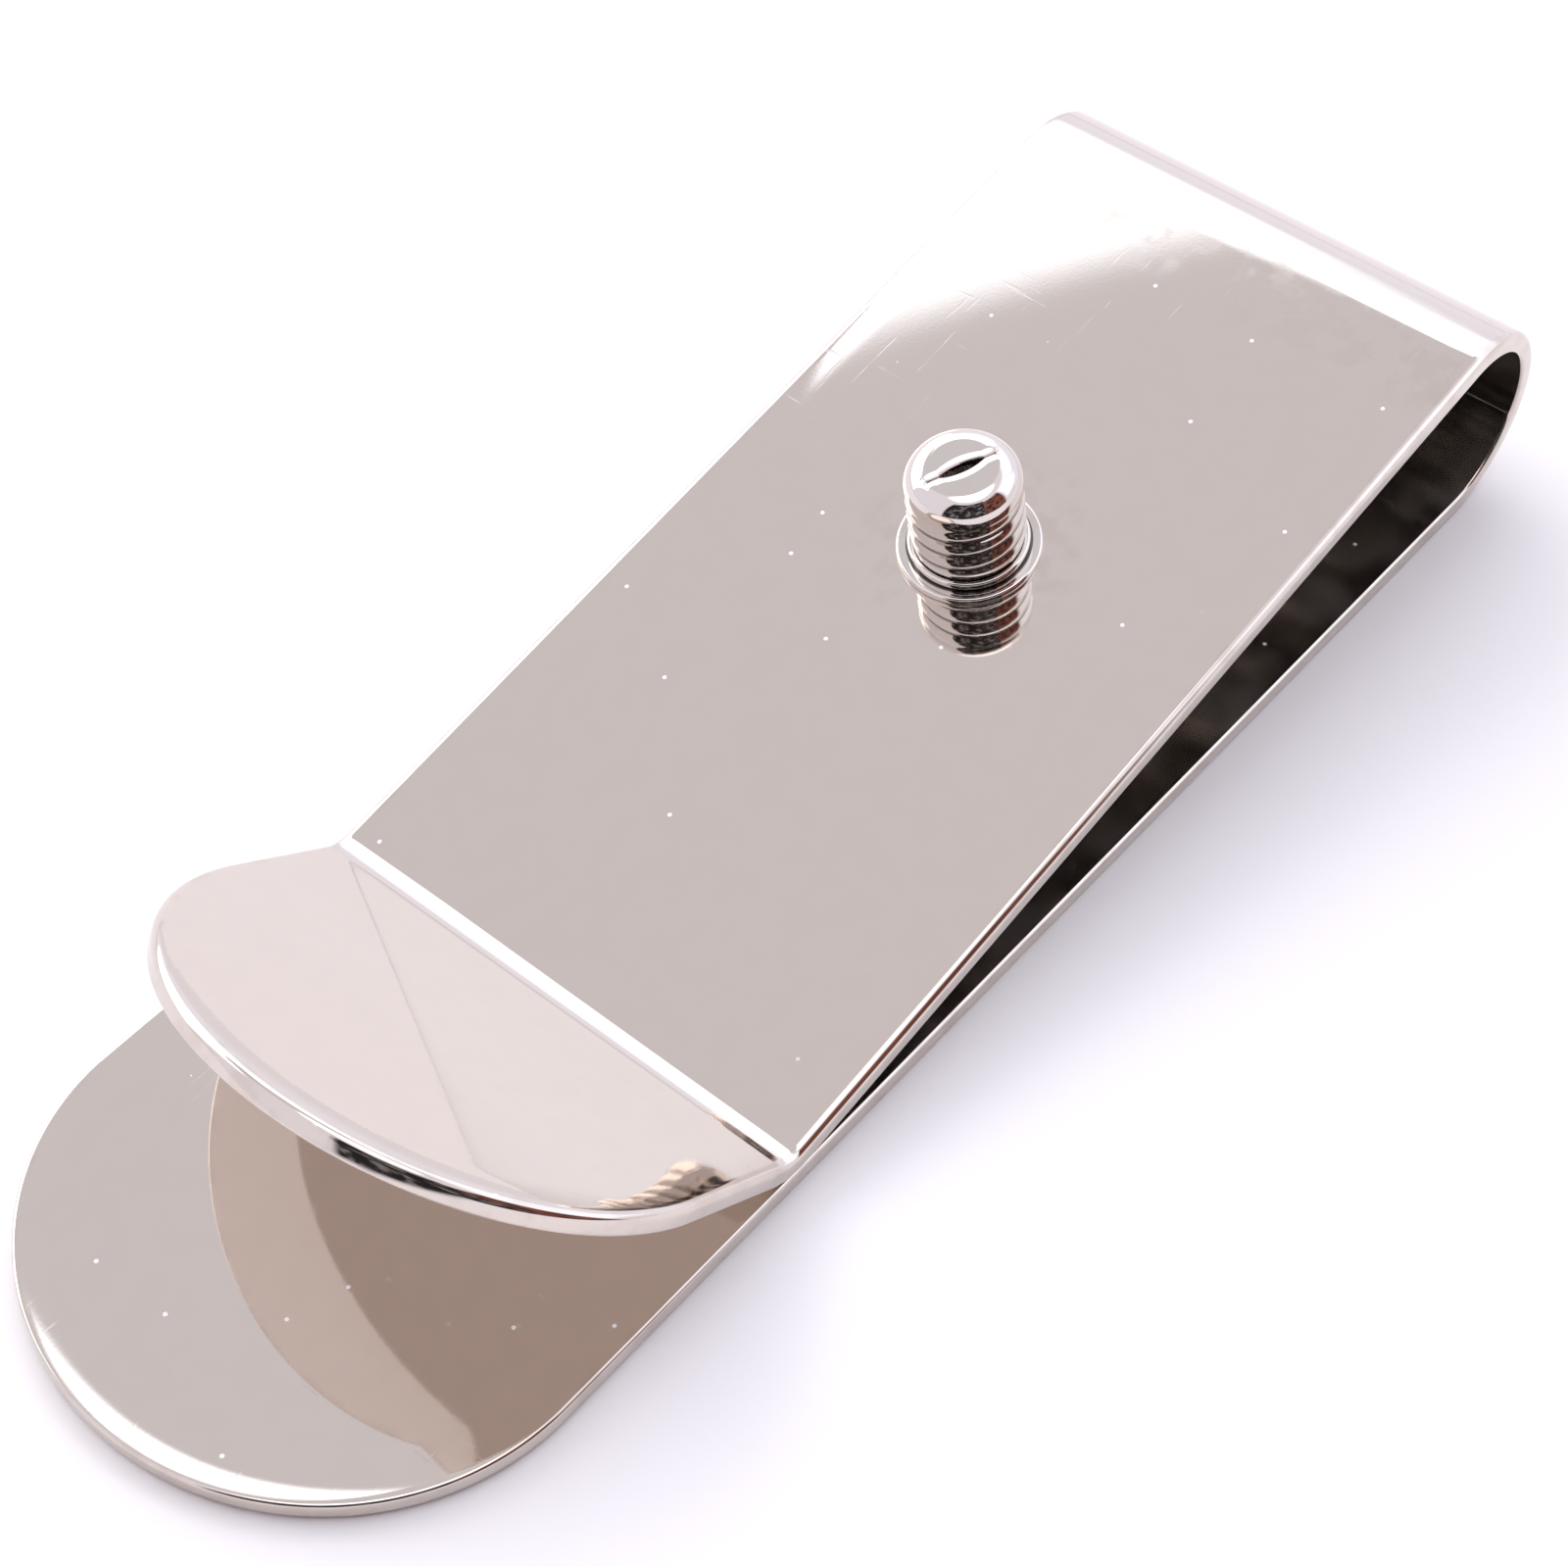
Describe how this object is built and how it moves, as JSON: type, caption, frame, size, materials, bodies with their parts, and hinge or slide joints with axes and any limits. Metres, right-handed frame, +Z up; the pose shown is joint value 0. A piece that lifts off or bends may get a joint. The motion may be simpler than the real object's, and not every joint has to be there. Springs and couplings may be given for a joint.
{
  "type": "money clip",
  "caption": "Spring money clip: one bent strip with a sprung front leaf, an upturned thumb lip and a slotted screw post in a stepped bush.",
  "frame": {"origin": "middle of the clip's footprint, on the surface that the back leaf lies on", "axes": "+X along the strip from the open end to the spring bend, +Y across the strip, +Z up from the back leaf's outer face through the clip"},
  "size_m": [0.0635, 0.0204, 0.0102],
  "materials": {
    "strip_plating": "polished",
    "bush_plating": "polished",
    "post_plating": "polished"
  },
  "bodies": {
    "back": {"back_leaf": "strip_plating", "spring_bend_lower": "strip_plating"},
    "front": {"spring_bend_upper": "strip_plating", "front_leaf": "strip_plating", "thumb_lip": "strip_plating", "post_bush": "bush_plating"},
    "post": {"slotted_post": "post_plating"}
  },
  "joints": [
    {"name": "leaf_opens", "type": "hinge", "parent": "back", "child": "front", "pos_m": [0.03175, 0, 0.00422], "axis": [0, 1, 0], "range_deg": [0, 7], "stiffness_Nm_per_rad": 3, "springref_deg": -1.72},
    {"name": "post_turns", "type": "hinge", "parent": "front", "child": "post", "pos_m": [0.0102, 0, 0.00545], "axis": [-0.1736, 0, 0.9848], "range_deg": [0, 360]}
  ]
}
